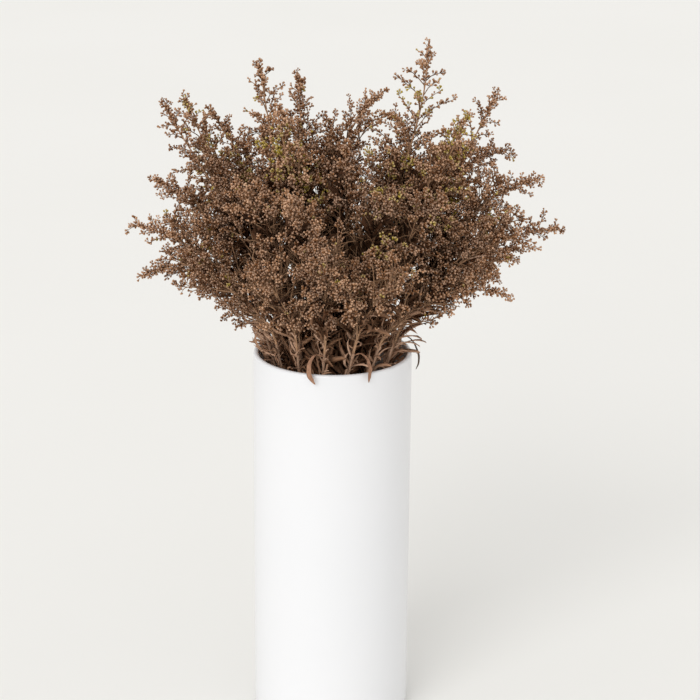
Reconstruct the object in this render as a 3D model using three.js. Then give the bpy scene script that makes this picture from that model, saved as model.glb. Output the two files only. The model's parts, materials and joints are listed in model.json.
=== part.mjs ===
// A tall white ceramic vase filled with dried goldenrod.
// Millimetres, +Z up. The origin is the middle of the vase's underside, on the surface it stands on.
// Azimuths are in degrees about +Z: 0 points along +X, 90 along +Y, and the front of the bunch is at -90.
import * as THREE from "three";

// The vase: a straight cylinder with a softened foot and a rounded lip
const VASE_DIAMETER = 120;
const VASE_HEIGHT = 292;
const WALL = 4;
const FLOOR = 8;
const FOOT_ROUNDING = 4;
const INNER_ROUNDING = 8;
const VASE_SEGMENTS = 72;
const CORNER_STEPS = 5;
const LIP_STEPS = 8;

// Every spray is a cut stem that carries one plume of flowers
const STEM_FOOT_RADIUS = 2.2;
const STEM_NECK_RADIUS = 1.6;
const NECK_ABOVE_LIP = 14;
const PLUME_TIP_RADIUS = 1.1;
const PLUME_WIDEST = 0.42;
const STEM_SIDES = 8;
const PLUME_SIDES = 8;
const PLUME_STEPS = 10;

// Neighbouring plumes swell until they nearly meet, so each takes under half of the way to the next
const SHARE_OF_GAP = 0.46;
const SEAT_GAP = 0.3;

// The stems stand in rings and twist about the axis on their way up, as in a hand-tied bunch.
// Each leans outwards past its neighbours, and none touches another.
const TWIST = 140;
const RINGS = {
  centre: { radius: 0, slots: 1, turned: 0 },
  inner: { radius: 15, slots: 5, turned: 10 },
  middle: { radius: 31, slots: 10, turned: 6 },
  outer: { radius: 47, slots: 15, turned: -2 },
};

// One row a spray: its slot in the mouth, where its tip is, how far the tip nods from the straight
// way there (less than 0 straightens up), towards what azimuth, and the plume's widest radius.
const SPRAYS = [
  { ring: "centre", slot: 0, azimuth: 55, reach: 67, height: 460, nod: 62, nodTo: 180, girth: 15 },
  { ring: "inner", slot: 0, azimuth: 8, reach: 69, height: 526, nod: -15, girth: 16 },
  { ring: "inner", slot: 2, azimuth: 180, reach: 54, height: 513, nod: -6, girth: 17 },
  { ring: "inner", slot: 3, azimuth: 221, reach: 54, height: 486, nod: 0, girth: 16 },
  { ring: "inner", slot: 4, azimuth: 280, reach: 51, height: 463, nod: 6, girth: 18 },
  { ring: "middle", slot: 0, azimuth: 348, reach: 100, height: 481, nod: 0, girth: 17 },
  { ring: "middle", slot: 1, azimuth: 18, reach: 128, height: 484, nod: -10, girth: 16 },
  { ring: "middle", slot: 2, azimuth: 35, reach: 44, height: 485, nod: 45, girth: 16 },
  { ring: "middle", slot: 3, azimuth: 120, reach: 57, height: 495, nod: 4, girth: 17 },
  { ring: "middle", slot: 4, azimuth: 163, reach: 118, height: 481, nod: -6, girth: 16 },
  { ring: "middle", slot: 5, azimuth: 187, reach: 125, height: 485, nod: 0, girth: 16 },
  { ring: "middle", slot: 6, azimuth: 225, reach: 98, height: 438, nod: 18, girth: 18 },
  { ring: "middle", slot: 7, azimuth: 252, reach: 105, height: 432, nod: 26, girth: 18 },
  { ring: "middle", slot: 8, azimuth: 297, reach: 96, height: 436, nod: 22, girth: 18 },
  { ring: "middle", slot: 9, azimuth: 317, reach: 109, height: 430, nod: 22, girth: 18 },
  { ring: "outer", slot: 0, azimuth: 2, reach: 154, height: 425, nod: 42, girth: 17 },
  { ring: "outer", slot: 1, azimuth: 20, reach: 150, height: 357, nod: 30, girth: 14 },
  { ring: "outer", slot: 2, azimuth: 29, reach: 155, height: 429, nod: 55, girth: 16 },
  { ring: "outer", slot: 4, azimuth: 92, reach: 90, height: 440, nod: 20, girth: 18 },
  { ring: "outer", slot: 6, azimuth: 142, reach: 123, height: 460, nod: 35, girth: 17 },
  { ring: "outer", slot: 7, azimuth: 170, reach: 138, height: 418, nod: 32, girth: 17 },
  { ring: "outer", slot: 8, azimuth: 186, reach: 149, height: 393, nod: 34, girth: 16 },
  { ring: "outer", slot: 9, azimuth: 200, reach: 149, height: 363, nod: 66, girth: 15 },
  { ring: "outer", slot: 10, azimuth: 239, reach: 111, height: 379, nod: 30, girth: 17 },
  { ring: "outer", slot: 11, azimuth: 267, reach: 120, height: 400, nod: 30, girth: 18 },
  { ring: "outer", slot: 12, azimuth: 294, reach: 120, height: 374, nod: 32, girth: 17 },
  { ring: "outer", slot: 13, azimuth: 345, reach: 136, height: 344, nod: 60, girth: 13 },
  { ring: "outer", slot: 14, azimuth: 353, reach: 169, height: 394, nod: 36, girth: 16 },
];

// How far the plume's spine follows the stem before it turns, and the tip's direction before it ends
const SPINE_START_PULL = 0.3;
const SPINE_END_PULL = 0.34;
const SPINE_SAMPLES = 60;

// The withered leaves that hang over the lip: the outer slot whose stem each grows on, the height where
// it leaves that stem, half its width, and the points of its midrib, which clears the lip
const LEAF_THICKNESS = 0.7;
const LEAF_BASE_SWELL = 0.12;
const LEAF_TIP_SWELL = 0.96;
const LEAF_SIDES = 6;
const LEAF_STEPS = 10;
const LEAVES = [
  {
    slot: 11,
    leavesAt: 303,
    halfWidth: 1.6,
    midrib: [[-12, -54, 306], [-16, -57.5, 301], [-16.5, -60.5, 295], [-14.5, -62, 290], [-12, -62.5, 286]],
  },
  {
    slot: 12,
    leavesAt: 303,
    halfWidth: 1.4,
    midrib: [[21, -50, 306], [26, -52.5, 302], [27.5, -55, 296], [27, -57, 290], [27, -57.5, 286]],
  },
  {
    slot: 0,
    leavesAt: 302,
    halfWidth: 0.8,
    midrib: [[55, -1.5, 304], [60.5, -2.5, 300], [64, -3.5, 292], [65, -4, 285], [63, -4, 278]],
  },
];

const glazedClay = new THREE.MeshStandardMaterial({ color: "#f1f1ef", roughness: 0.3, metalness: 0 });
const driedStem = new THREE.MeshStandardMaterial({ color: "#7d6248", roughness: 0.8, metalness: 0 });
const driedFlower = new THREE.MeshStandardMaterial({ color: "#7a5a45", roughness: 0.9, metalness: 0 });
const driedLeaf = new THREE.MeshStandardMaterial({ color: "#8a6448", roughness: 0.8, metalness: 0 });

const radians = THREE.MathUtils.degToRad;

function polar(radius, azimuth, height) {
  const angle = radians(azimuth);
  return new THREE.Vector3(radius * Math.cos(angle), radius * Math.sin(angle), height);
}

function named(name, geometry, material) {
  const mesh = new THREE.Mesh(geometry, material);
  mesh.name = name;
  return mesh;
}

// Points of a circle's arc in the vase's profile, from one angle to the other
function arcPoints(centreX, centreY, radius, from, to, steps) {
  const clockwise = to < from;
  const arc = new THREE.EllipseCurve(centreX, centreY, radius, radius, radians(from), radians(to), clockwise);
  return arc.getPoints(steps);
}

function vaseGeometry() {
  const outer = VASE_DIAMETER / 2;
  const inner = outer - WALL;
  const lip = WALL / 2;
  const profile = [
    new THREE.Vector2(0, 0),
    ...arcPoints(outer - FOOT_ROUNDING, FOOT_ROUNDING, FOOT_ROUNDING, -90, 0, CORNER_STEPS),
    ...arcPoints(outer - lip, VASE_HEIGHT - lip, lip, 0, 180, LIP_STEPS),
    ...arcPoints(inner - INNER_ROUNDING, FLOOR + INNER_ROUNDING, INNER_ROUNDING, 0, -90, CORNER_STEPS),
    new THREE.Vector2(0, FLOOR),
  ];
  const turned = new THREE.LatheGeometry(profile, VASE_SEGMENTS);
  turned.rotateX(Math.PI / 2);
  return turned;
}

// A closed body along a curve: round or flat rings of points, and a flat cap at each end.
// sizeAt gives the ring's half width and half depth at a share of the way along.
function body(curve, sides, steps, sizeAt, across) {
  const positions = [];
  const triangles = [];
  const side = new THREE.Vector3();
  const up = new THREE.Vector3();
  for (let step = 0; step <= steps; step += 1) {
    const share = step / steps;
    const centre = curve.getPointAt(share);
    const along = curve.getTangentAt(share);
    side.copy(across).addScaledVector(along, -across.dot(along)).normalize();
    up.crossVectors(along, side);
    const [halfWidth, halfDepth] = sizeAt(share, centre);
    for (let k = 0; k < sides; k += 1) {
      const turn = (2 * Math.PI * k) / sides;
      const point = centre.clone();
      point.addScaledVector(side, halfWidth * Math.cos(turn));
      point.addScaledVector(up, halfDepth * Math.sin(turn));
      positions.push(point.x, point.y, point.z);
    }
  }
  for (let step = 0; step < steps; step += 1) {
    for (let k = 0; k < sides; k += 1) {
      const a = step * sides + k;
      const b = step * sides + ((k + 1) % sides);
      triangles.push(a, b, b + sides, a, b + sides, a + sides);
    }
  }
  const last = steps * sides;
  for (let k = 1; k < sides - 1; k += 1) {
    triangles.push(0, k + 1, k, last, last + k, last + k + 1);
  }
  const geometry = new THREE.BufferGeometry();
  geometry.setAttribute("position", new THREE.Float32BufferAttribute(positions, 3));
  geometry.setIndex(triangles);
  geometry.computeVertexNormals();
  return geometry;
}

// The stem runs straight from the floor of the vase, through its place in the mouth, to its neck
function stemOf(spray) {
  const ring = RINGS[spray.ring];
  const mouthAzimuth = ring.turned + (spray.slot * 360) / ring.slots;
  const mouth = polar(ring.radius, mouthAzimuth, VASE_HEIGHT);
  const foot = polar(ring.radius, mouthAzimuth - TWIST, FLOOR);
  const along = mouth.clone().sub(foot).normalize();
  const lean = Math.hypot(along.x, along.y);
  const lift = (SEAT_GAP + STEM_FOOT_RADIUS * lean) / along.z;
  foot.addScaledVector(along, lift);
  const neck = mouth.clone().addScaledVector(along, NECK_ABOVE_LIP / along.z);
  return { foot, neck, along };
}

// The spine of a plume: it leaves the stem in line with it and bends to its tip
function spineOf(spray, stem) {
  const tip = polar(spray.reach, spray.azimuth, spray.height);
  const start = stem.neck.clone().addScaledVector(stem.along, SEAT_GAP);
  const way = tip.clone().sub(start);
  const length = way.length();
  const rise = THREE.MathUtils.radToDeg(Math.asin(way.z / length)) - spray.nod;
  const heading = spray.nodTo ?? THREE.MathUtils.radToDeg(Math.atan2(way.y, way.x));
  const ending = polar(Math.cos(radians(rise)), heading, Math.sin(radians(rise)));
  const first = start.clone().addScaledVector(stem.along, SPINE_START_PULL * length);
  const second = tip.clone().addScaledVector(ending, -SPINE_END_PULL * length);
  return new THREE.CubicBezierCurve3(start, first, second, tip);
}

// A plume's radius with nothing beside it: from the neck it swells to its girth and narrows to the tip
function freeRadius(share, girth) {
  const swell = share < PLUME_WIDEST ? share / PLUME_WIDEST : (1 - share) / (1 - PLUME_WIDEST);
  const smooth = Math.sin((swell * Math.PI) / 2);
  const least = THREE.MathUtils.lerp(STEM_NECK_RADIUS, PLUME_TIP_RADIUS, share);
  return least + (girth - least) * smooth;
}

function distanceToLine(point, line) {
  const segment = new THREE.Line3();
  const nearest = new THREE.Vector3();
  let least = Infinity;
  for (let k = 1; k < line.length; k += 1) {
    segment.set(line[k - 1], line[k]).closestPointToPoint(point, true, nearest);
    least = Math.min(least, nearest.distanceTo(point));
  }
  return least;
}

const goldenrod = new THREE.Group();
goldenrod.add(named("vase", vaseGeometry(), glazedClay));

const sprays = SPRAYS.map((spray) => {
  const stem = stemOf(spray);
  const spine = spineOf(spray, stem);
  return { ...spray, stem, spine, line: [stem.foot, ...spine.getSpacedPoints(SPINE_SAMPLES)] };
});

sprays.forEach((spray, index) => {
  const number = String(index + 1).padStart(2, "0");
  const across = polar(1, spray.azimuth + 90, 0);
  const { foot, neck } = spray.stem;
  const stemSize = (share) => {
    const radius = THREE.MathUtils.lerp(STEM_FOOT_RADIUS, STEM_NECK_RADIUS, share);
    return [radius, radius];
  };
  const stem = body(new THREE.LineCurve3(foot, neck), STEM_SIDES, 1, stemSize, across);
  goldenrod.add(named(`stem_${number}`, stem, driedStem));

  const others = sprays.filter((other) => other !== spray);
  const plumeSize = (share, centre) => {
    const room = Math.min(...others.map((other) => distanceToLine(centre, other.line)));
    const radius = Math.min(freeRadius(share, spray.girth), SHARE_OF_GAP * room);
    return [radius, radius];
  };
  const plume = body(spray.spine, PLUME_SIDES, PLUME_STEPS, plumeSize, across);
  goldenrod.add(named(`plume_${number}`, plume, driedFlower));
});

// A leaf is narrow where it leaves the stem, widest near its middle and pointed at its end
function leafSize(share, halfWidth) {
  const swell = THREE.MathUtils.lerp(LEAF_BASE_SWELL, LEAF_TIP_SWELL, share);
  const width = halfWidth * Math.sin(Math.PI * swell);
  return [width, LEAF_THICKNESS / 2];
}

LEAVES.forEach((leaf, index) => {
  const { stem } = sprays.find((spray) => spray.ring === "outer" && spray.slot === leaf.slot);
  const share = (leaf.leavesAt - stem.foot.z) / (stem.neck.z - stem.foot.z);
  const joint = stem.foot.clone().lerp(stem.neck, share);
  const midrib = leaf.midrib.map((point) => new THREE.Vector3(...point));
  const outwards = midrib[0].clone().sub(joint).normalize();
  const stemRadius = THREE.MathUtils.lerp(STEM_FOOT_RADIUS, STEM_NECK_RADIUS, share);
  const angle = outwards.angleTo(stem.along);
  const edge = (LEAF_THICKNESS / 2) * Math.cos(angle);
  const start = joint.addScaledVector(outwards, (stemRadius + edge + SEAT_GAP) / Math.sin(angle));
  const curve = new THREE.CatmullRomCurve3([start, ...midrib]);
  const across = new THREE.Vector3(-outwards.y, outwards.x, 0).normalize();
  const blade = body(curve, LEAF_SIDES, LEAF_STEPS, (at) => leafSize(at, leaf.halfWidth), across);
  goldenrod.add(named(`leaf_${index + 1}`, blade, driedLeaf));
});

export default goldenrod;
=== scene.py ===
# %% [markdown]
# # A vase of goldenrod
#
# A tall cylinder of white glazed clay holds twenty-eight dried goldenrod sprays. The CAD model gives
# the vase, a straight stem and a plain swollen plume for each spray, and three leaves that hang over
# the lip. This notebook grows the real look in the same places: branching plumes of small dried flower
# heads, ribbed stalks, curled leaves and a smooth glaze.

# %% Load the CAD frame
import json
import math
import random
from collections import namedtuple

import bpy
from mathutils import Matrix, Vector

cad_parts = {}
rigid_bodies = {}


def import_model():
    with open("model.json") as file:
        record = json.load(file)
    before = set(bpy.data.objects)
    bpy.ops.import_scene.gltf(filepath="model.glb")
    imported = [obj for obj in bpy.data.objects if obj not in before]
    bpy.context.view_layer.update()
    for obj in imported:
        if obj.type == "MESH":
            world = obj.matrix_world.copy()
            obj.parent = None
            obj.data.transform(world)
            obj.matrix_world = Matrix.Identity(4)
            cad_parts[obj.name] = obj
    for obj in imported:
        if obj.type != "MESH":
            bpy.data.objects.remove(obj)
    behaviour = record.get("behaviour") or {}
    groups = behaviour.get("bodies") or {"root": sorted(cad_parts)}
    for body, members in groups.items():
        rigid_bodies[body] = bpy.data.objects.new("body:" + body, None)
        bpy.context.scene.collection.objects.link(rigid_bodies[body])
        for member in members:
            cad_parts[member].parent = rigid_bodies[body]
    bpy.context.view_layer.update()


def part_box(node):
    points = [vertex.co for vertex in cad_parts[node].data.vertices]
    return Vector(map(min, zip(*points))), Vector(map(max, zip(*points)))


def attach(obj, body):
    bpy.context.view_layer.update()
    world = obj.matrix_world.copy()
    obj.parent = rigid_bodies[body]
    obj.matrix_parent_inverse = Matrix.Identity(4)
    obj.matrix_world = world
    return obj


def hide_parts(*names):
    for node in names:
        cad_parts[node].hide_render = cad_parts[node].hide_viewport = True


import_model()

MM = 0.001

# %% [markdown]
# ## The camera
#
# The camera looks down on the vase at about nineteen degrees, from more than a metre and a half away,
# so the vase's sides stay almost parallel. Its place, its lens and a slight roll were worked out from
# the vase's edges and rim. The picture is square, 700 pixels wide, and the rim's centre has to fall
# near pixel 333, 350.

# %% Camera
PICTURE = 700
FOCAL_PIXELS = 2296
SENSOR = 36.0
CAMERA_AT = Vector((0.0131, -1.648, 0.846))
PITCH = math.radians(18.58)
ROLL = math.radians(0.47)
VASE_HEIGHT = 0.292

ahead = Vector((0, math.cos(PITCH), -math.sin(PITCH)))
level_right = Vector((1, 0, 0))
level_up = level_right.cross(ahead)
right = math.cos(ROLL) * level_right + math.sin(ROLL) * level_up
up = math.cos(ROLL) * level_up - math.sin(ROLL) * level_right

camera = bpy.data.objects.new("camera", bpy.data.cameras.new("camera"))
bpy.context.scene.collection.objects.link(camera)
camera.data.sensor_width = SENSOR
camera.data.lens = FOCAL_PIXELS * SENSOR / PICTURE
camera.matrix_world = Matrix.Translation(CAMERA_AT) @ Matrix((right, up, -ahead)).transposed().to_4x4()
bpy.context.scene.camera = camera


def pixel_of(point):
    """Where a point of the room lands in the picture"""
    way = Vector(point) - CAMERA_AT
    scale = FOCAL_PIXELS / way.dot(ahead)
    return PICTURE / 2 + scale * way.dot(right), PICTURE / 2 - scale * way.dot(up)


print("rim centre at pixel", [round(x, 1) for x in pixel_of((0, 0, VASE_HEIGHT))])

# %% [markdown]
# ## Floor and light
#
# A plain pale floor runs far behind the vase, so that it fills the whole background. The light is soft
# daylight: an even white sky, and a wide, weak sun from the front left, whose large angle blurs every
# shadow. The colours are shown without a film look, because the vase has to stay a clean white.

# %% Light
SKY_COLOUR = (1.0, 0.995, 0.985, 1)
SKY_STRENGTH = 0.81
SUN_STRENGTH = 1.25
SUN_WIDTH = math.radians(38)
SUN_FROM = Vector((-0.46, -0.90, 0.58))

bpy.context.scene.view_settings.view_transform = "Standard"
sky = bpy.data.worlds.new("sky")
sky.use_nodes = True
sky.node_tree.nodes["Background"].inputs["Color"].default_value = SKY_COLOUR
sky.node_tree.nodes["Background"].inputs["Strength"].default_value = SKY_STRENGTH
bpy.context.scene.world = sky

sun = bpy.data.objects.new("window_light", bpy.data.lights.new("window_light", "SUN"))
sun.data.energy = SUN_STRENGTH
sun.data.angle = SUN_WIDTH
sun.rotation_euler = SUN_FROM.to_track_quat("Z", "Y").to_euler()
bpy.context.scene.collection.objects.link(sun)
print("sun from", tuple(round(x, 2) for x in SUN_FROM))

# %% [markdown]
# ## Wiring nodes with sums
#
# Materials and Geometry Nodes are both trees of nodes. Written node by node they are long, so two small
# helpers come first. A `Wire` is one output of a node: adding or multiplying wires adds Math nodes. A
# `Bench` adds any other node from its type, its settings and what goes into its sockets.


# %% Helpers for node trees
def adding(operation, swapped=False):
    """A method that adds a Math node for a wire and what stands on the other side of the sign"""

    def method(self, other):
        return self.bench.math(operation, *((other, self) if swapped else (self, other)))

    return method


class Wire:
    """One output of a node. Sums and products of wires add Math nodes to the same tree."""

    def __init__(self, bench, socket):
        self.bench = bench
        self.socket = socket

    __add__ = __radd__ = adding("ADD")
    __mul__ = __rmul__ = adding("MULTIPLY")
    __sub__ = adding("SUBTRACT")
    __rsub__ = adding("SUBTRACT", swapped=True)
    __truediv__ = adding("DIVIDE")
    __pow__ = adding("POWER")
    __mod__ = adding("MODULO")
    __lt__ = adding("LESS_THAN")
    __gt__ = adding("GREATER_THAN")


class Bench:
    """Adds nodes to one tree."""

    def __init__(self, tree):
        self.tree = tree

    def node(self, kind, settings=None, inputs=None, give=0):
        made = self.tree.nodes.new(kind)
        for name, value in (settings or {}).items():
            if name == "stops":
                set_stops(made.color_ramp, value)
            elif name == "curve":
                set_curve(made.mapping, value)
            else:
                setattr(made, name, value)
        pairs = inputs.items() if isinstance(inputs, dict) else enumerate(inputs or ())
        for key, value in pairs:
            self.plug(made, key, value)
        if give is None:
            return made
        if isinstance(give, tuple):
            return tuple(Wire(self, output_named(made, name)) for name in give)
        return Wire(self, output_named(made, give))

    def plug(self, made, key, value):
        if isinstance(key, int):
            socket = made.inputs[key]
        else:
            socket = next(s for s in made.inputs if s.name == key and s.enabled)
        for one in value if isinstance(value, list) else [value]:
            if isinstance(one, Wire):
                self.tree.links.new(one.socket, socket)
            else:
                socket.default_value = one

    def shape(self, kind, main, settings=None, give=0, **inputs):
        """A Geometry Node whose first socket takes the shape. The name Fill_Caps stands for "Fill Caps"."""
        labels = {name.replace("_", " "): value for name, value in inputs.items()}
        return self.node("GeometryNode" + kind, settings, {0: main, **labels}, give)

    def math(self, operation, *values):
        return self.node("ShaderNodeMath", {"operation": operation}, values)

    def vector(self, operation, *values, scale=None):
        inputs = dict(enumerate(values))
        if scale is not None:
            inputs["Scale"] = scale
        return self.node("ShaderNodeVectorMath", {"operation": operation}, inputs)

    def clamped(self, value):
        return self.node("ShaderNodeClamp", {}, {"Value": value})

    def over(self, value, edge, slope):
        """0 until the value passes the edge, then rising to 1 with this slope"""
        return self.clamped((value - edge) * slope)

    def split(self, vector):
        return self.node("ShaderNodeSeparateXYZ", {}, [vector], ("X", "Y", "Z"))

    def combined(self, x, y, z):
        return self.node("ShaderNodeCombineXYZ", {}, [x, y, z])


def output_named(made, name):
    if isinstance(name, int):
        return [s for s in made.outputs if s.enabled][name]
    return next(s for s in made.outputs if s.name == name and s.enabled)


def set_stops(ramp, stops):
    """Gives a colour ramp these (place, colour) stops"""
    while len(ramp.elements) > 1:
        ramp.elements.remove(ramp.elements[-1])
    ramp.elements[0].position, ramp.elements[0].color = stops[0]
    for place, colour in stops[1:]:
        ramp.elements.new(place).color = colour


def set_curve(mapping, points):
    """Gives a float curve these points"""
    line = mapping.curves[0]
    line.points[0].location, line.points[1].location = points[0], points[-1]
    for point in points[1:-1]:
        line.points.new(*point)
    mapping.update()


def paint(red, green, blue):
    """A colour as a screen shows it, from 0 to 255, turned into the light values that shaders use"""
    shares = [x / 255 for x in (red, green, blue)]
    return tuple(x / 12.92 if x <= 0.04045 else ((x + 0.055) / 1.055) ** 2.4 for x in shares) + (1.0,)


print("mid grey is", tuple(round(x, 3) for x in paint(128, 128, 128)))


# %% [markdown]
# ## Materials
#
# Each material starts the same way: a Principled shader, whose own sockets hold what never changes. The
# coordinates come either from the object, which suits the vase, or from the UV map that is grown with
# the plants. That map is laid out by meaning instead of by place: across it runs the tint of each small
# flower head, and up it runs the way from the foot of its stalk to its tip.


# %% Start and end of a material
FLOWER_MAP = "OFBake"


def new_material(name, **constants):
    """A material with its shader, whose unchanging sockets are given by name"""
    material = bpy.data.materials.new(name)
    material.use_nodes = True
    material.node_tree.nodes.clear()
    bench = Bench(material.node_tree)
    labels = {key.replace("_", " "): value for key, value in constants.items()}
    shader = bench.node("ShaderNodeBsdfPrincipled", {}, labels, give=None)
    bench.node("ShaderNodeOutputMaterial", {}, {"Surface": Wire(bench, shader.outputs[0])}, give=None)
    return material, bench, shader


def dress(bench, shader, colour, roughness, relief, strength, distance):
    """Plugs in what varies: the colour, the roughness, and a height that is felt as bumps"""
    inputs = {"Height": relief, "Strength": strength, "Distance": distance}
    bench.plug(shader, "Base Color", colour)
    bench.plug(shader, "Roughness", roughness)
    bench.plug(shader, "Normal", bench.node("ShaderNodeBump", {}, inputs, "Normal"))


def noise(bench, place, scale, detail=2.0, give="Fac"):
    return bench.node("ShaderNodeTexNoise", {}, {"Vector": place, "Scale": scale, "Detail": detail}, give)


def blend(bench, share, one, other):
    """Mixes two colours"""
    inputs = {"Factor": share, "A": one, "B": other}
    return bench.node("ShaderNodeMix", {"data_type": "RGBA"}, inputs, "Result")


def flower_place(bench, across, upwards):
    """The plants' UV map: its two numbers, and both stretched as the place of a pattern"""
    place = bench.node("ShaderNodeUVMap", {"uv_map": FLOWER_MAP})
    tint, rise, _ = bench.split(place)
    return tint, rise, bench.vector("MULTIPLY", place, (across, upwards, 1.0))


# %% Pale floor
def floor_paint():
    material, bench, shader = new_material("pale_floor", Specular_IOR_Level=0.25)
    place = bench.node("ShaderNodeTexCoord", {}, {}, "Object")
    cloud = noise(bench, place, scale=1.4, detail=3.0)
    grain = noise(bench, place, scale=420.0)
    colour = blend(bench, cloud, paint(238, 237, 233), paint(243, 242, 239))
    dress(bench, shader, colour, 0.72 + 0.12 * grain, grain, strength=0.08, distance=0.0003)
    return material


FLOOR_SIDE, FLOOR_FRONT, FLOOR_BACK = 7.0, -3, 11
corners = [(-FLOOR_SIDE, FLOOR_FRONT), (FLOOR_SIDE, FLOOR_FRONT), (FLOOR_SIDE, FLOOR_BACK), (-FLOOR_SIDE, FLOOR_BACK)]
floor_mesh = bpy.data.meshes.new("floor")
floor_mesh.from_pydata([(x, y, 0) for x, y in corners], [], [(0, 1, 2, 3)])
floor_mesh.materials.append(floor_paint())
floor = bpy.data.objects.new("floor", floor_mesh)
bpy.context.scene.collection.objects.link(floor)
print("floor corners", corners)


# %% [markdown]
# ## The glaze
#
# The vase wears a white satin glaze over fired clay. A real glaze is never quite even: it gathers and
# thins in slow clouds, its gloss varies a little, and its surface has a faint orange-peel ripple. Under
# the foot the clay is left bare, because a glazed foot would stick to the kiln shelf.


# %% Glaze material
BARE_BELOW = 0.0006


def glaze():
    material, bench, shader = new_material("white_glaze", IOR=1.5, Coat_Roughness=0.12)
    place = bench.node("ShaderNodeTexCoord", {}, {}, "Object")
    cloud = noise(bench, place, scale=9.0, detail=3.0)
    speck = noise(bench, place, scale=900.0, detail=1.0)
    ripple = noise(bench, place, scale=160.0)
    _, _, height = bench.split(place)
    bare = height < BARE_BELOW
    white = blend(bench, cloud, paint(230, 231, 233), paint(235, 235, 237))
    white = blend(bench, bench.over(speck, 0.72, slope=6) * 0.18, white, paint(214, 208, 198))
    colour = blend(bench, bare, white, paint(214, 204, 190))
    roughness = 0.3 + 0.08 * cloud + 0.45 * bare
    dress(bench, shader, colour, roughness, ripple + 0.3 * speck, strength=0.05, distance=0.0004)
    bench.plug(shader, "Coat Weight", 0.35 - 0.35 * bare)
    return material


white_glaze = glaze()
print("glaze nodes:", len(white_glaze.node_tree.nodes))


# %% [markdown]
# ## Geometry Nodes
#
# What repeats along a path is grown by Geometry Nodes. Each tree starts with its named sizes as inputs.
# `grow` puts a tree on a path as a modifier, sets the sizes by the inputs' identifiers, and keeps the
# result as a plain mesh, so no modifier is left.


# %% Start and end of a tree, and growing it
def new_tree(name, sizes):
    """A Geometry Nodes tree with named sizes. Gives the tree, its bench and its inputs as wires."""
    tree = bpy.data.node_groups.new(name, "GeometryNodeTree")
    tree.is_modifier = True
    tree.interface.new_socket("Geometry", in_out="INPUT", socket_type="NodeSocketGeometry")
    for label, size in sizes.items():
        kind = "NodeSocketInt" if isinstance(size, int) else "NodeSocketFloat"
        tree.interface.new_socket(label, in_out="INPUT", socket_type=kind).default_value = size
    tree.interface.new_socket("Geometry", in_out="OUTPUT", socket_type="NodeSocketGeometry")
    bench = Bench(tree)
    entry = tree.nodes.new("NodeGroupInput")
    given = {s.name: Wire(bench, s) for s in entry.outputs if s.name}
    bench.seed = given.get("Seed")
    bench.index = bench.node("GeometryNodeInputIndex")
    bench.position = bench.node("GeometryNodeInputPosition")
    bench.along = bench.node("GeometryNodeSplineParameter", {}, {}, "Factor")
    return tree, bench, given


def finished(tree, bench, made, skin, *others):
    """Ends a tree: smooth, one plain mesh, and its skin. The others are skins with where each one goes."""
    made = bench.shape("SetShadeSmooth", made)
    made = bench.shape("RealizeInstances", made)
    for material, where in [(skin, True), *others]:
        made = bench.shape("SetMaterial", made, Selection=where, Material=material)
    bench.node("NodeGroupOutput", {}, {"Geometry": made}, give=None)
    return tree


def path_mesh(name, lines):
    """Open lines of points as a mesh of edges"""
    points, edges = [], []
    for line in lines:
        first = len(points)
        points += [tuple(p) for p in line]
        edges += [(k, k + 1) for k in range(first, len(points) - 1)]
    mesh = bpy.data.meshes.new(name)
    mesh.from_pydata(points, edges, [])
    return mesh


def grow(name, lines, tree, sizes):
    """Runs a tree on some lines and returns the result as a plain mesh object"""
    carrier = bpy.data.objects.new(name + "_path", path_mesh(name + "_path", lines))
    bpy.context.scene.collection.objects.link(carrier)
    modifier = carrier.modifiers.new("grow", "NODES")
    modifier.node_group = tree
    for item in tree.interface.items_tree:
        if item.in_out == "INPUT" and item.name in sizes:
            modifier[item.identifier] = sizes[item.name]
    graph = bpy.context.evaluated_depsgraph_get()
    mesh = bpy.data.meshes.new_from_object(carrier.evaluated_get(graph), depsgraph=graph)
    carrier.modifiers.remove(modifier)
    bpy.data.objects.remove(carrier)
    mesh.name = name
    piece = bpy.data.objects.new(name, mesh)
    bpy.context.scene.collection.objects.link(piece)
    return piece


def triangles_of(piece):
    return sum(len(face.vertices) - 2 for face in piece.data.polygons)


def hand_over(piece, slot, *nodes):
    """Hangs a finished piece on the root body and hides the CAD nodes it stands for. The slot is not used."""
    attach(piece, "root")
    if nodes:
        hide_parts(*nodes)


# %% [markdown]
# ## The vase
#
# A thrown vase is round because it turns: one profile, from the middle of the foot up the outside, over
# the rounded lip and down the inside, is carried round the axis. The tree does the same on a flat grid.
# Each column of the grid is the profile once more, turned a little further, and the seam and the two
# poles are merged shut. The tall wall gets a ring every centimetre, so that shading stays even.

# %% Vase
VASE_RADIUS = 0.060
WALL = 0.004
VASE_FLOOR = 0.008
FOOT_ROUNDING = 0.004
INNER_ROUNDING = 0.008
STEPS_ROUND = 96
WALL_RINGS = 22
ACROSS_RINGS = 4
SEAM_GAP = 1e-6


def arc_points(middle, height, radius, start, end, steps=8):
    angles = [math.radians(start + (end - start) * k / steps) for k in range(steps + 1)]
    return [(middle + radius * math.cos(a), 0, height + radius * math.sin(a)) for a in angles]


def line_points(start, end, steps):
    return [tuple(Vector(start).lerp(Vector(end), k / steps)) for k in range(1, steps)]


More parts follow.
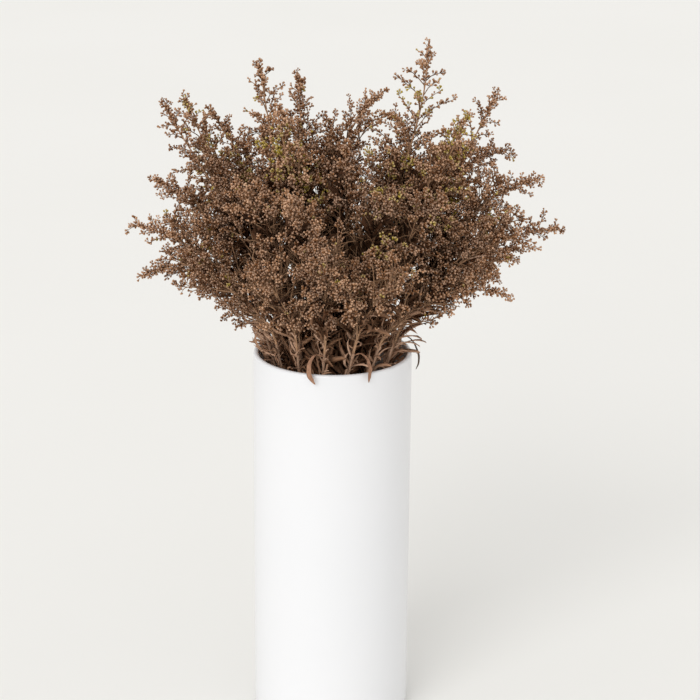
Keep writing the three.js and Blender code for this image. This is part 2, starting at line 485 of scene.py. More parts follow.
def vase_profile():
    inner = VASE_RADIUS - WALL
    lip = WALL / 2
    foot = arc_points(VASE_RADIUS - FOOT_ROUNDING, FOOT_ROUNDING, FOOT_ROUNDING, -90, 0)
    rim = arc_points(VASE_RADIUS - lip, VASE_HEIGHT - lip, lip, 0, 180, 12)
    well = arc_points(inner - INNER_ROUNDING, VASE_FLOOR + INNER_ROUNDING, INNER_ROUNDING, 0, -90)
    under, bottom = (0, 0, 0), (0, 0, VASE_FLOOR)
    line = [under, *line_points(under, foot[0], ACROSS_RINGS), *foot]
    line += [*line_points(foot[-1], rim[0], WALL_RINGS), *rim]
    line += [*line_points(rim[-1], well[0], WALL_RINGS), *well]
    return line + [*line_points(well[-1], bottom, ACROSS_RINGS), bottom]


def turning_tree():
    tree, bench, given = new_tree("turned_on_a_wheel", {"Steps round": STEPS_ROUND})
    profile, steps = given["Geometry"], given["Steps round"]
    rows = bench.shape("AttributeDomainSize", profile, {"component": "MESH"}, "Point Count")
    sheet = bench.node("GeometryNodeMeshGrid", {}, {"Vertices X": steps + 1, "Vertices Y": rows}, "Mesh")
    column = bench.math("FLOOR", (bench.index + 0.5) / rows)
    row = bench.index - column * rows
    place = bench.shape("SampleIndex", profile, {"data_type": "FLOAT_VECTOR"}, Value=bench.position, Index=row)
    inputs = {"Vector": place, "Angle": column * (2 * math.pi) / steps}
    turned = bench.node("ShaderNodeVectorRotate", {"rotation_type": "Z_AXIS"}, inputs)
    shell = bench.shape("SetPosition", sheet, Position=turned)
    shell = bench.shape("MergeByDistance", shell, Distance=SEAM_GAP)
    return finished(tree, bench, shell, white_glaze)


def volume_of(piece):
    """The volume inside a closed mesh, which is above zero only if its faces point outwards"""
    piece.data.calc_loop_triangles()
    corners = [v.co for v in piece.data.vertices]
    volume = 0.0
    for triangle in piece.data.loop_triangles:
        a, b, c = (corners[k] for k in triangle.vertices)
        volume += a.dot(b.cross(c)) / 6
    return volume


def turn_outwards(piece):
    """Turns the faces of a closed mesh round if they point inwards"""
    if volume_of(piece) < 0:
        piece.data.flip_normals()


vase = grow("glazed_vase", [vase_profile()], turning_tree(), {"Steps round": STEPS_ROUND})
turn_outwards(vase)
hand_over(vase, "glaze", "vase")
print("vase:", triangles_of(vase), "triangles,", round(volume_of(vase) * 1e6), "cm3 of clay")

# %% [markdown]
# ## Where the sprays stand
#
# The stems stand in four rings in the mouth and twist about the axis on their way up, as in a hand-tied
# bunch, so that no two touch. Each spray has one row: its ring and slot, the azimuth, reach and height of
# its tip, how far the tip nods over, and towards which azimuth if not straight on. The last numbers are
# for the look: how many of its heads have stayed olive green, and how long its side branches are.

# %% Table of sprays
TWIST = 140
# Radius in the mouth, number of slots, and how far the first one is turned
RINGS = {"centre": (0, 1, 0), "inner": (15, 5, 10), "middle": (31, 10, 6), "outer": (47, 15, -2)}
Spray = namedtuple("Spray", "ring slot azimuth reach height nod nods_to olive branch")
SPRAY_ROWS = [
    ("centre", 0, 55, 67, 460, 62, 180, 0.05, 30),
    ("inner", 0, 8, 69, 526, -15, None, 0.35, 33),
    ("inner", 2, 180, 54, 513, -6, None, 0.02, 33),
    ("inner", 3, 221, 54, 486, 0, None, 0.60, 30),
    ("inner", 4, 280, 51, 463, 6, None, 0.05, 30),
    ("middle", 0, 348, 100, 481, 0, None, 0.40, 30),
    ("middle", 1, 18, 128, 484, -10, None, 0.05, 29),
    ("middle", 2, 35, 44, 485, 45, None, 0.05, 32),
    ("middle", 3, 120, 57, 495, 4, None, 0.03, 29),
    ("middle", 4, 163, 118, 481, -6, None, 0.40, 27),
    ("middle", 5, 187, 125, 485, 0, None, 0.02, 27),
    ("middle", 6, 225, 98, 438, 18, None, 0.04, 30),
    ("middle", 7, 252, 105, 432, 26, None, 0.02, 30),
    ("middle", 8, 297, 96, 436, 22, None, 0.40, 30),
    ("middle", 9, 317, 109, 430, 22, None, 0.06, 30),
    ("outer", 0, 2, 154, 425, 42, None, 0.02, 32),
    ("outer", 1, 20, 150, 357, 30, None, 0.02, 33),
    ("outer", 2, 29, 155, 429, 55, None, 0.02, 33),
    ("outer", 4, 92, 90, 440, 20, None, 0.05, 25),
    ("outer", 6, 142, 123, 460, 35, None, 0.03, 25),
    ("outer", 7, 170, 138, 418, 32, None, 0.01, 32),
    ("outer", 8, 186, 149, 393, 34, None, 0.01, 30),
    ("outer", 9, 200, 149, 363, 66, None, 0.01, 26),
    ("outer", 10, 239, 111, 379, 30, None, 0.02, 30),
    ("outer", 11, 267, 120, 400, 30, None, 0.02, 30),
    ("outer", 12, 294, 120, 374, 32, None, 0.04, 30),
    ("outer", 13, 345, 136, 344, 60, None, 0.01, 22),
    ("outer", 14, 353, 169, 394, 36, None, 0.03, 32),
]
SPRAYS = [Spray(*row) for row in SPRAY_ROWS]
STEM_FOOT_RADIUS = 0.0022
STEM_NECK_RADIUS = 0.0016
STALK_SHRINK = 0.62
NECK_ABOVE_LIP = 0.014
SEAT_GAP = 0.0003
START_PULL = 0.3
END_PULL = 0.34
SPINE_POINTS = 48
OFF_LIMIT = 0.001


def polar(radius, azimuth, height):
    angle = math.radians(azimuth)
    return Vector((radius * math.cos(angle), radius * math.sin(angle), height))


def stem_of(ring, slot):
    """The straight stem: its foot on the vase's floor, its neck above the lip and its direction"""
    radius, slots, turned = RINGS[ring]
    azimuth = turned + slot * 360 / slots
    mouth = polar(radius * MM, azimuth, VASE_HEIGHT)
    foot = polar(radius * MM, azimuth - TWIST, VASE_FLOOR)
    along = (mouth - foot).normalized()
    lean = math.hypot(along.x, along.y)
    foot += along * (SEAT_GAP + STEM_FOOT_RADIUS * lean) / along.z
    return foot, mouth + along * NECK_ABOVE_LIP / along.z, along


def spine_of(neck, along, spray):
    """The curve of the plume's spine, from the stem's neck to its tip"""
    tip = polar(spray.reach * MM, spray.azimuth, spray.height * MM)
    start = neck + along * SEAT_GAP
    way = tip - start
    rise = math.degrees(math.asin(way.z / way.length)) - spray.nod
    heading = math.degrees(math.atan2(way.y, way.x)) if spray.nods_to is None else spray.nods_to
    ending = polar(math.cos(math.radians(rise)), heading, math.sin(math.radians(rise)))
    second = start + along * START_PULL * way.length
    third = tip - ending * END_PULL * way.length
    points = []
    for k in range(SPINE_POINTS + 1):
        t = k / SPINE_POINTS
        s = 1 - t
        points.append(s**3 * start + 3 * s * s * t * second + 3 * s * t * t * third + t**3 * tip)
    return points


stems, spines = [], []
for number, spray in enumerate(SPRAYS, 1):
    foot, neck, along = stem_of(spray.ring, spray.slot)
    stems.append((foot, neck))
    spines.append(spine_of(neck, along, spray))
    low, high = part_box(f"plume_{number:02d}")
    off = max(max(low[k] - p[k], p[k] - high[k]) for p in spines[-1] for k in range(3))
    if off > OFF_LIMIT:
        raise ValueError(f"the spine of spray {number} leaves its CAD plume by {off:.4f} m")
print("sprays:", len(spines), "tip of the tallest at", tuple(round(x, 3) for x in spines[1][-1]))

# %% [markdown]
# ## The plants' materials
#
# Dried goldenrod is brown all over, but never one brown. Each flower head has its own tint, from umber
# to a pinkish tan, and a few have stayed olive green. Every head is darker at its foot, partly where the
# small bracts overlap and partly as painted shade, and pale at the tip, partly where the dry petals stick
# out and partly as a painted highlight. Both come straight from the UV map: the tint picks the colour
# from a ramp, and the rise shades it. Fine noise in the same coordinates adds streaks and specks.

# %% Materials of heads, twigs, stalks and leaves
HEADS_PART = 0.80
TWIGS_FROM = 0.84
OLIVE_FROM = 0.85
HEAD_COLOURS = [
    (0.00, paint(78, 43, 19)),
    (0.25, paint(117, 74, 41)),
    (0.50, paint(152, 105, 67)),
    (0.72, paint(188, 142, 105)),
    (0.83, paint(212, 170, 137)),
    (0.86, paint(146, 122, 50)),
    (1.00, paint(194, 174, 66)),
]
# The dark end of this ramp is painted shade for the leaves inside the bunch; from 0.36 up it is the tan of dried
# leaves
LEAF_AND_PAINTED_SHADE_COLOURS = [
    (0.00, paint(42, 24, 11)),
    (0.28, paint(86, 54, 32)),
    (0.36, paint(152, 114, 86)),
    (1.00, paint(234, 196, 168)),
]


def flower_heads():
    material, bench, shader = new_material("dried_flower_heads", Specular_IOR_Level=0.15, IOR=1.45)
    tint, rise, place = flower_place(bench, across=90.0, upwards=7.0)
    colour = bench.node("ShaderNodeValToRGB", {"stops": HEAD_COLOURS}, {"Fac": tint / HEADS_PART}, "Color")
    fleck = noise(bench, place, scale=1.0)
    # Darker at the foot, partly the overlapping bracts and partly painted shade; paler at the tip, partly the dry
    # petals and partly a painted highlight
    foot = bench.clamped(1 - rise * 2.2)
    tip = bench.clamped(rise * 3.2 - 2.2)
    colour = blend(bench, foot * 0.68, colour, paint(44, 21, 7))
    colour = blend(bench, tip * 0.54, colour, paint(238, 206, 180))
    colour = blend(bench, bench.over(fleck, 0.5, slope=2.2), colour, paint(76, 48, 30))
    dress(bench, shader, colour, 0.78 + 0.2 * fleck, fleck, strength=0.5, distance=0.0002)
    return material


def twigs():
    material, bench, shader = new_material("dried_twigs", Specular_IOR_Level=0.25, IOR=1.45)
    tint, rise, place = flower_place(bench, across=110.0, upwards=40.0)
    streak = noise(bench, place, scale=1.0)
    own = bench.clamped((tint - TWIGS_FROM) / (1 - TWIGS_FROM))
    colour = blend(bench, own, paint(58, 32, 15), paint(204, 162, 126))
    colour = blend(bench, bench.over(streak, 0.45, slope=2.5), colour, paint(60, 38, 24))
    colour = blend(bench, rise * 0.25, colour, paint(124, 84, 56))
    dress(bench, shader, colour, 0.7 + 0.2 * streak, streak, strength=0.4, distance=0.0002)
    return material


def stalks():
    material, bench, shader = new_material("ribbed_stalks", Specular_IOR_Level=0.3, IOR=1.45)
    _, _, place = flower_place(bench, across=9.0, upwards=26.0)
    streak = noise(bench, place, scale=1.0, detail=3.0)
    rib = noise(bench, bench.vector("MULTIPLY", place, (5.0, 0.6, 1.0)), scale=1.0, detail=1.0)
    colour = blend(bench, streak, paint(130, 98, 76), paint(214, 178, 150))
    colour = blend(bench, bench.over(rib, 0.5, slope=3), colour, paint(80, 53, 36))
    dress(bench, shader, colour, 0.62 + 0.25 * streak, rib, strength=0.5, distance=0.0003)
    return material


def leaflets():
    material, bench, shader = new_material("withered_leaflets", Specular_IOR_Level=0.25, IOR=1.45)
    tint, rise, place = flower_place(bench, across=60.0, upwards=8.0)
    vein = noise(bench, place, scale=1.0)
    colour = bench.node("ShaderNodeValToRGB", {"stops": LEAF_AND_PAINTED_SHADE_COLOURS}, {"Fac": tint}, "Color")
    # A low tint gives the near-black of the shaded leaves, painted shade; lit is 1 only for the sunlit ones
    lit = bench.clamped(tint * 4 - 1)
    colour = blend(bench, lit * bench.over(vein, 0.5, slope=2.2), colour, paint(86, 56, 38))
    # Sunlit leaves are lighter towards the tip: a painted highlight
    colour = blend(bench, lit * rise * 0.3, colour, paint(186, 138, 106))
    dress(bench, shader, colour, 0.66 + 0.25 * vein, vein, strength=0.5, distance=0.0003)
    return material


head_brown, twig_brown, stalk_brown, leaf_brown = flower_heads(), twigs(), stalks(), leaflets()
print("plant materials:", [m.name for m in (head_brown, twig_brown, stalk_brown, leaf_brown)])


# %% [markdown]
# ## One flower head
#
# A goldenrod head is a narrow cup of bracts, three to four millimetres long, on a hair-thin stalk. It
# repeats tens of thousands of times, so it has at most a dozen faces: two rings of three or four points,
# closed by a point at each end. Some templates carry one head, others a small fork of two to four, as
# on the plant. Their map holds how far round the cup a point is and how far up.

# %% Flower head templates
ROUND_WAVE = (0.1, 0.4, 0.7, 0.5)
WAVE_AT_END = 0.05
CUP_TINTS = 0.3
# Sides, and the rings of a head: how far along it and how wide
OPEN_CUP = (4, [(0.42, 0.30), (0.84, 1.00)])
LONG_CUP = (3, [(0.60, 0.28), (0.90, 1.00)])
CLOSED_CUP = (4, [(0.40, 0.42), (0.76, 1.00)])
# Each head: where it starts, its direction, length with its stalk, girth, cup, and its own shift in tint
TEMPLATES = {
    "head_1_open": [((0, 0, -0.2), (0, 0, 1), 3.9, 2.2, OPEN_CUP, 0.2)],
    "head_2_pair": [
        ((0, 0, -0.2), (0.3, 0.1, 1), 4.2, 2.2, OPEN_CUP, 0.1),
        ((0, 0, 0.2), (-0.7, -0.1, 1), 3.5, 1.9, CLOSED_CUP, 0.6),
    ],
    "head_3_three": [
        ((0, 0, -0.2), (0.1, 0, 1), 5.0, 2.0, LONG_CUP, 0.3),
        ((0, 0, 0.4), (0.85, 0.3, 0.9), 3.5, 2.0, CLOSED_CUP, 0.6),
        ((0, 0, 1.0), (-0.7, 0.4, 1), 3.6, 2.0, OPEN_CUP, 0.0),
    ],
    "head_4_four": [
        ((0, 0, -0.2), (0, 0.1, 1), 5.8, 2.0, LONG_CUP, 0.4),
        ((0, 0, 0.2), (0.9, -0.2, 0.9), 3.6, 2.0, CLOSED_CUP, 0.1),
        ((0, 0, 1.2), (-0.7, 0.6, 1), 3.5, 2.2, OPEN_CUP, 0.7),
        ((0, 0, 1.8), (-0.1, -0.8, 1), 3.4, 1.9, CLOSED_CUP, 0.5),
    ],
}


def add_head(points, faces, start, ahead_way, length, girth, cup, offset):
    """Adds one head on its stalk: rings round an axis, from a point to a point"""
    sides, rings = cup
    ahead_way = ahead_way.normalized()
    side = ahead_way.orthogonal().normalized()
    other = ahead_way.cross(side)
    first, top = len(points), len(rings) + 1
    points.append(tuple(start))
    for share, wide in rings:
        middle = start + ahead_way * share * length
        for k in range(sides):
            turn = 2 * math.pi * k / sides
            out = side * math.cos(turn) + other * math.sin(turn)
            points.append(tuple(middle + out * wide * girth / 2))
    points.append(tuple(start + ahead_way * length))
    rises = [0.02, *(share for share, _ in rings), 0.98]

    def corner(level, k):
        """A corner of a face: the number of its point, and its place in the map"""
        at_end = level in (0, top)
        index = first + max(0, 1 + (level - 1) * sides) + (0 if at_end else k)
        wave = ROUND_WAVE[k] + (WAVE_AT_END if at_end else 0.0)
        return index, (offset + CUP_TINTS * wave, rises[level])

    for k in range(sides):
        n = (k + 1) % sides
        faces.append([corner(0, k), corner(1, n), corner(1, k)])
        for level in range(1, top - 1):
            faces.append([corner(level, k), corner(level, n), corner(level + 1, n), corner(level + 1, k)])
        faces.append([corner(top - 1, k), corner(top - 1, n), corner(top, k)])


def mapped_template(name, points, faces):
    """An object that a tree can scatter. Each corner of a face is its point's number and its map place."""
    mesh = bpy.data.meshes.new(name)
    mesh.from_pydata(points, [], [[index for index, _ in face] for face in faces])
    layer = mesh.uv_layers.new(name=FLOWER_MAP)
    for k, (_, place) in enumerate(corner for face in faces for corner in face):
        layer.data[k].uv = place
    return bpy.data.objects.new(name, mesh)


head_store = bpy.data.collections.new("flower_heads")
for name, heads in TEMPLATES.items():
    points, faces = [], []
    for start, way, length, girth, cup, offset in heads:
        add_head(points, faces, Vector(start) * MM, Vector(way), length * MM, girth * MM, cup, offset)
    template = mapped_template(name, points, faces)
    head_store.objects.link(template)
    print(name, triangles_of(template), "triangles", round(volume_of(template) * 1e9, 2), "mm3")


# %% [markdown]
# ## The panicle
#
# A goldenrod plume is a panicle: a spine with side branches, each branch arching outwards and carrying
# its heads along its outer part. A few long side shoots grow up beside the spine and branch as it does,
# which makes the plume full. The branches follow one another round the spine by the golden angle, which
# keeps each out of the shade of the last, and they are longest below the middle and short at the tip.
# Where a plume leans, they turn towards the light above. The tree follows the same rules: points along
# the spine carry arched branches, and points along the branches carry heads.
#
# First come the small helpers that every plant's tree uses.

# %% Helpers for growing
GOLDEN_ANGLE = math.radians(137.5)


def chance(bench, low, high, shift):
    """A random number for each point, from the tree's seed. Each use has a shift of its own."""
    inputs = {"Min": low, "Max": high, "Seed": bench.seed + shift}
    return bench.node("FunctionNodeRandomValue", {"data_type": "FLOAT"}, inputs)


def golden_turn(bench, spread, shift):
    return bench.index * GOLDEN_ANGLE + chance(bench, -spread, spread, shift)


def stored(bench, made, name, value, kind="FLOAT", domain="POINT"):
    settings = {"data_type": kind, "domain": domain}
    return bench.shape("StoreNamedAttribute", made, settings, Name=name, Value=value)


def recalled(bench, name, kind="FLOAT"):
    return bench.node("GeometryNodeInputNamedAttribute", {"data_type": kind}, {"Name": name}, "Attribute")


def between(low, high, share):
    return low + share * (high - low)


def reach_of(bench, x, y):
    """How far a point is from the vase's axis"""
    return bench.math("SQRT", x * x + y * y)


def turned_about(bench, vector, axis, angle):
    inputs = {"Vector": vector, "Axis": axis, "Angle": angle}
    return bench.node("ShaderNodeVectorRotate", {"rotation_type": "AXIS_ANGLE"}, inputs)


def turned_by(bench, rotation, axis, angle):
    by = bench.node("FunctionNodeAxisAngleToRotation", {}, {"Axis": axis, "Angle": angle})
    inputs = {"Rotation": rotation, "Rotate By": by}
    return bench.node("FunctionNodeRotateRotation", {"rotation_space": "LOCAL"}, inputs)


def pointed(bench, axis, vector, rotation=None):
    inputs = {"Vector": vector}
    if rotation is not None:
        inputs["Rotation"] = rotation
    settings = {"axis": axis, "pivot_axis": "AUTO" if rotation is None else "Z"}
    return bench.node("FunctionNodeAlignRotationToVector", settings, inputs)


def joined(bench, *parts):
    return bench.shape("JoinGeometry", list(parts))


def part_of(bench, line, start, end):
    """The part of a line between two shares of its length"""
    return bench.shape("TrimCurve", line, {"mode": "FACTOR"}, Start=start, End=end)


def resampled(bench, line, count):
    return bench.shape("ResampleCurve", line, {"mode": "COUNT"}, Count=count)


def seats_along(bench, line, mode="LENGTH", **amount):
    """Points along a line, the way ahead at each, and a way beside it"""
    return bench.shape("CurveToPoints", line, {"mode": mode}, ("Points", "Tangent", "Normal"), **amount)


def thinned(bench, seats, tangent, normal, dropped):
    """Drops some seats. The two ways at the others are stored first, or they would be lost."""
    for name, way in (("ahead", tangent), ("beside", normal)):
        seats = stored(bench, seats, name, way, "FLOAT_VECTOR")
    seats = bench.shape("DeleteGeometry", seats, {"domain": "POINT"}, Selection=dropped)
    return seats, recalled(bench, "ahead", "FLOAT_VECTOR"), recalled(bench, "beside", "FLOAT_VECTOR")


def scattered(bench, seats, store, rotation, size, tint, shift):
    """Puts a template on each seat by chance. Gives them, their tint, and both numbers of their map."""
    inputs = {"Collection": store, "Separate Children": True, "Reset Children": True}
    shapes = bench.node("GeometryNodeCollectionInfo", {}, inputs)
    inputs = {"Min": 0, "Max": len(store.objects) - 1, "Seed": bench.seed + shift}
    pick = bench.node("FunctionNodeRandomValue", {"data_type": "INT"}, inputs)
    seats = stored(bench, seats, "tint", tint)
    picked = {"Instance": shapes, "Pick_Instance": True, "Instance_Index": pick}
    made = bench.shape("InstanceOnPoints", seats, **picked, Rotation=rotation, Scale=size)
    made = bench.shape("RealizeInstances", made)
    around, rise, _ = bench.split(recalled(bench, FLOWER_MAP, "FLOAT_VECTOR"))
    return made, recalled(bench, "tint"), around, rise


def ring_line(bench, sides):
    return bench.node("GeometryNodeCurvePrimitiveCircle", {}, {"Resolution": sides, "Radius": 1.0}, "Curve")


def swept(bench, line, ring, around, radius):
    """Sweeps a ring along a line into a closed tube. Each point keeps how far round it is."""
    ring = stored(bench, ring, "around", around)
    return bench.shape("CurveToMesh", line, Profile_Curve=ring, Scale=radius, Fill_Caps=True)


def mapped(bench, mesh, across, upwards):
    """Writes the plants' UV map"""
    place = bench.combined(across, upwards, 0.0)
    return stored(bench, mesh, FLOWER_MAP, place, "FLOAT2", "CORNER")


print("golden angle:", round(math.degrees(GOLDEN_ANGLE), 1), "degrees")


# %% [markdown]
# ## Where no heads grow
#
# Inside a dense bunch there is no light and no room, so branches there are bare, and a photograph shows
# dark gaps between the plumes. Three rules decide where: an egg-shaped space in the bunch's middle,
# hollows that reach out of it in places towards the front and the back, and the space under a cone that
# opens out of the vase's mouth, where only stalks stand.

# %% Shade, hollows and the cone
SHADE_MIDDLE = (0.005, -0.010, 0.352)
SHADE_RADII = (0.075, 0.063, 0.066)
HOLLOWS_PER_METRE = 24.0
HOLLOWS_UP_TO = 0.43
HOLLOW_SIDE = 0.35
CONE_HEIGHT = 0.292
CONE_SLOPE = 0.62
CONE_TOP = 0.338


def from_middle(bench):
    """How far a point is from the middle of the bunch: below 1 it lies in the shade"""
    away = bench.vector("DIVIDE", bench.vector("SUBTRACT", bench.position, SHADE_MIDDLE), SHADE_RADII)
    return bench.node("ShaderNodeVectorMath", {"operation": "LENGTH"}, [away], "Value")


def in_hollow(bench):
    """How deep a point is in a hollow. At the sides the hollows are shallow."""
    x, y, height = bench.split(bench.position)
    facing = bench.over(bench.math("ABSOLUTE", y), bench.math("ABSOLUTE", x) * HOLLOW_SIDE, slope=30)
    hollow = noise(bench, bench.position, HOLLOWS_PER_METRE, detail=0.0)
    low = bench.over(HOLLOWS_UP_TO, height, slope=30)
    return bench.over(hollow, 0.48, slope=6) * low * (0.3 + 0.7 * facing)


def under_bunch(bench):
    """Whether a point is lower than the cone in which the lowest stalks lean out of the mouth"""
    x, y, height = bench.split(bench.position)
    edge = CONE_HEIGHT + CONE_SLOPE * (reach_of(bench, x, y) - VASE_RADIUS)
    return height < bench.math("MINIMUM", edge, CONE_TOP)


print("shade from", round((SHADE_MIDDLE[2] - SHADE_RADII[2]) / MM), "mm up to",
      round((SHADE_MIDDLE[2] + SHADE_RADII[2]) / MM), "mm")

# %% Shoots and branches
SHOOT_ARCH = {"Resolution": 9, "Start": (0, 0, 0), "Middle": (0.13, 0, 0.5), "End": (0.31, 0, 0.95)}
BRANCH_ARCH = {"Resolution": 3, "Start": (0, 0, 0), "Middle": (0.36, 0, 0.52), "End": (0.82, 0, 0.70)}
BRANCH_SHAPE = [(0.0, 0.60), (0.18, 0.92), (0.34, 1.0), (0.6, 0.82), (0.85, 0.46), (1.0, 0.16)]
FIRST_SHOOT = 0.12
SHOOT_BRANCH = 0.58


def forked(bench, tangent, normal, turn, pull, tilt):
    """How a side branch stands: turned round what it leaves, pulled one way, and tilted"""
    outward = turned_about(bench, normal, tangent, turn)
    rotation = pointed(bench, "X", bench.vector("ADD", outward, pull), pointed(bench, "Z", tangent))
    return turned_by(bench, rotation, (0, 1, 0), tilt)


def bent(bench, lines, amount, fineness):
    """Bends each line its own way, as wind and drying do, more towards its end"""
    place = bench.vector("ADD", bench.position, (3.1, 0, 0))
    sway = noise(bench, place, fineness, detail=1.0, give="Color")
    sway = bench.vector("SCALE", bench.vector("SUBTRACT", sway, (0.5, 0.5, 0.47)), scale=amount)
    return bench.shape("SetPosition", lines, Offset=sway)


def side_shoots(bench, given, spine):
    """A few long shoots, which leave the lower half of the spine and grow up beside it"""
    lower = part_of(bench, spine, FIRST_SHOOT, given["Last shoot"])
    forks, tangent, normal = seats_along(bench, lower, "COUNT", Count=given["Side shoots"])
    way = recalled(bench, "way")
    x, y, _ = bench.split(bench.position)
    lowest = given["Outward pull"] * bench.clamped(1.25 - 2.5 * way)
    sideways = lowest / reach_of(bench, x, y)
    pull = bench.combined(x * sideways, y * sideways, 1 - 0.4 * lowest)
    tilt = chance(bench, -0.25, 0.2, 22) + 0.22 * lowest
    rotation = forked(bench, tangent, normal, golden_turn(bench, 0.5, 21), pull, tilt)
    length = given["Side shoot length"] * chance(bench, 0.8, 1.15, 23) * (1.1 - 0.85 * way)
    arch = bench.node("GeometryNodeCurveQuadraticBezier", {}, SHOOT_ARCH)
    shoots = bench.shape("InstanceOnPoints", forks, Instance=arch, Rotation=rotation, Scale=length)
    shoots = bench.shape("RealizeInstances", shoots)
    shoots = stored(bench, shoots, "way", bench.along)
    return bent(bench, shoots, bench.along * 0.016, fineness=28.0)


def bearing_axes(bench, given, spine, shoots):
    """What carries branches: the spine above its bare foot, and the upper part of each shoot"""
    axes = []
    for line, start, end, length in ((spine, given["First branch"], 0.97, 1.0), (shoots, 0.22, 0.96, SHOOT_BRANCH)):
        axis = stored(bench, part_of(bench, line, start, end), "share", bench.along)
        axes.append(stored(bench, axis, "longest", given["Longest branch"] * length))
    return joined(bench, *axes)


def branches_on(bench, given, axes):
    """Arched branches along the axes"""
    forks, tangent, normal = seats_along(bench, axes, Length=given["Branch gap"])
    share = recalled(bench, "share")
    shape = bench.node("ShaderNodeFloatCurve", {"curve": BRANCH_SHAPE}, {"Value": share})
    reach = recalled(bench, "longest") * shape * chance(bench, 0.7, 1.2, 1)
    pull = bench.combined(0.0, 0.0, given["Sky pull"])
    tilt = between(0.20, -0.12, share) + chance(bench, -0.2, 0.2, 3) + given["Openness"]
    rotation = forked(bench, tangent, normal, golden_turn(bench, 0.4, 2), pull, tilt)
    arch = bench.node("GeometryNodeCurveQuadraticBezier", {}, BRANCH_ARCH)
    branches = bench.shape("InstanceOnPoints", forks, Instance=arch, Rotation=rotation, Scale=reach)
    branches = stored(bench, branches, "tone", chance(bench, 0.0, 1.0, 4), domain="INSTANCE")
    branches = bench.shape("RealizeInstances", branches)
    branches = stored(bench, branches, "way", bench.along)
    return bent(bench, branches, bench.along * 0.010, fineness=55.0)


print("the lowest branch has", BRANCH_SHAPE[0][1], "of the longest one's length")

# %% Heads along the branches
OLIVE_PATCHES = 38.0
PALEST_BROWN = 0.70
# Heads below this height get painted light
PAINTED_LIGHT_BELOW = 0.42


def head_tint(bench, given):
    """The tint of each head: brown by chance and by branch, with painted shade deep in the bunch and at each branch's
    foot and painted light on the low heads, or olive in patches
    """
    _, _, height = bench.split(bench.position)
    patch = noise(bench, bench.position, OLIVE_PATCHES, detail=1.0)
    olive = chance(bench, 0.0, 1.0, 9) < given["Olive"] * bench.over(patch, 0.44, slope=10)
    # Painted shade: heads deep in the bunch are darker, those on its outside lighter
    painted_shade_by_depth = bench.over(from_middle(bench), 1.05, slope=0.9)
    brown = chance(bench, -0.16, 0.19, 10) + 0.30 * recalled(bench, "tone") + 0.22 * painted_shade_by_depth
    # Painted light: heads below this height are lighter
    brown = brown + 0.155 * bench.over(PAINTED_LIGHT_BELOW, height, slope=12)
    # Painted shade at each branch's foot inside the plume, and painted light towards its tip
    brown = brown + 0.2 * (recalled(bench, "way") - 0.5)
    brown = bench.clamped(brown + given["Shade"])
    brown = bench.math("MINIMUM", brown, PALEST_BROWN)
    return brown + olive * (OLIVE_FROM + 0.02 - brown)


def heads_on(bench, given, bearing):
    """Heads on all but the bare foot of each branch, where they aren't shaded"""
    seats, tangent, normal = seats_along(bench, bearing, Length=given["Head gap"])
    way = recalled(bench, "way")
    bare = way < chance(bench, 0.16, 0.42, 5)
    shaded = from_middle(bench) < chance(bench, 0.85, 1.05, 12) + 0.75 * in_hollow(bench)
    bare = bench.math("MAXIMUM", bare, bench.math("MAXIMUM", shaded, under_bunch(bench)))
    seats, ahead_way, beside = thinned(bench, seats, tangent, normal, bare)
    outward = turned_about(bench, beside, ahead_way, golden_turn(bench, 0.6, 6))
    direction = bench.vector("ADD", outward, bench.vector("SCALE", ahead_way, scale=0.55 + 0.9 * way))
    direction = bench.vector("ADD", direction, (0, 0, 0.45))
    rotation = turned_by(bench, pointed(bench, "Z", direction), (0, 0, 1), chance(bench, 0.0, 6.28, 7))
    size = given["Head size"] * chance(bench, 0.72, 1.05, 8) * (1.06 - 0.24 * way)
    tint = head_tint(bench, given)
    heads, tint, around, rise = scattered(bench, seats, head_store, rotation, size, tint, 11)
    heads = mapped(bench, heads, HEADS_PART * (tint + 0.12 * around), rise)
    return stored(bench, heads, "is_head", 1.0)


print("tints: browns up to", PALEST_BROWN, "and olive from", OLIVE_FROM)

# %% Panicle tree
PANICLE_SIZES = {
    "Side shoots": 11,
    "Last shoot": 0.62,
    "Side shoot length": 0.072,
    "Outward pull": 0.0,
    "Sky pull": 0.55,
    "Branch gap": 0.0036,
    "Longest branch": 0.030,
    "First branch": 0.34,
    "Openness": 0.0,
    "Club": 0.90,
    "Head gap": 0.0019,
    "Head size": 1.16,
    "Olive": 0.02,
    "Shade": 0.0,
    "Seed": 1,
}
SPINE_RINGS = 36


def tube(bench, line, sides, foot, tip, share):
    """A closed tube that tapers from its foot to its tip"""
    around = 1 - bench.math("ABSOLUTE", bench.index * (2 / sides) - 1)
    return swept(bench, line, ring_line(bench, sides), around, between(foot, tip, share))


